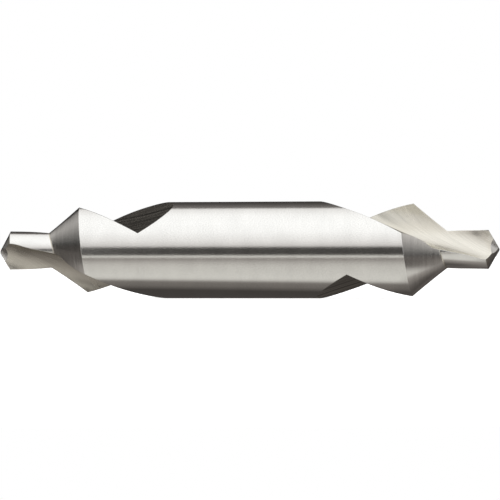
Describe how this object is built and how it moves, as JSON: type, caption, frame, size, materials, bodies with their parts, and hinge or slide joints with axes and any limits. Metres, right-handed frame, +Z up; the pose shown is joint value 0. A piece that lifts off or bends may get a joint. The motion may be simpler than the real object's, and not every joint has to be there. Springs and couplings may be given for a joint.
{
  "type": "centre drill",
  "caption": "Double-ended combined drill and countersink: a plain round body with a short pilot drill, a relieved 82 degree cone and helical flutes at each end.",
  "frame": {"origin": "on the axis at mid length", "axes": "+X along the axis towards the end on the right of the picture, +Z up as the tool lies in the picture, and -Y towards the camera"},
  "size_m": [0.0826, 0.0158, 0.0158],
  "materials": {
    "ground_steel": "bright finely ground tool steel, with fine rings on the cones and long streaks in the flutes"
  },
  "bodies": {
    "root": {"centre_drill": "ground_steel"}
  },
  "joints": []
}
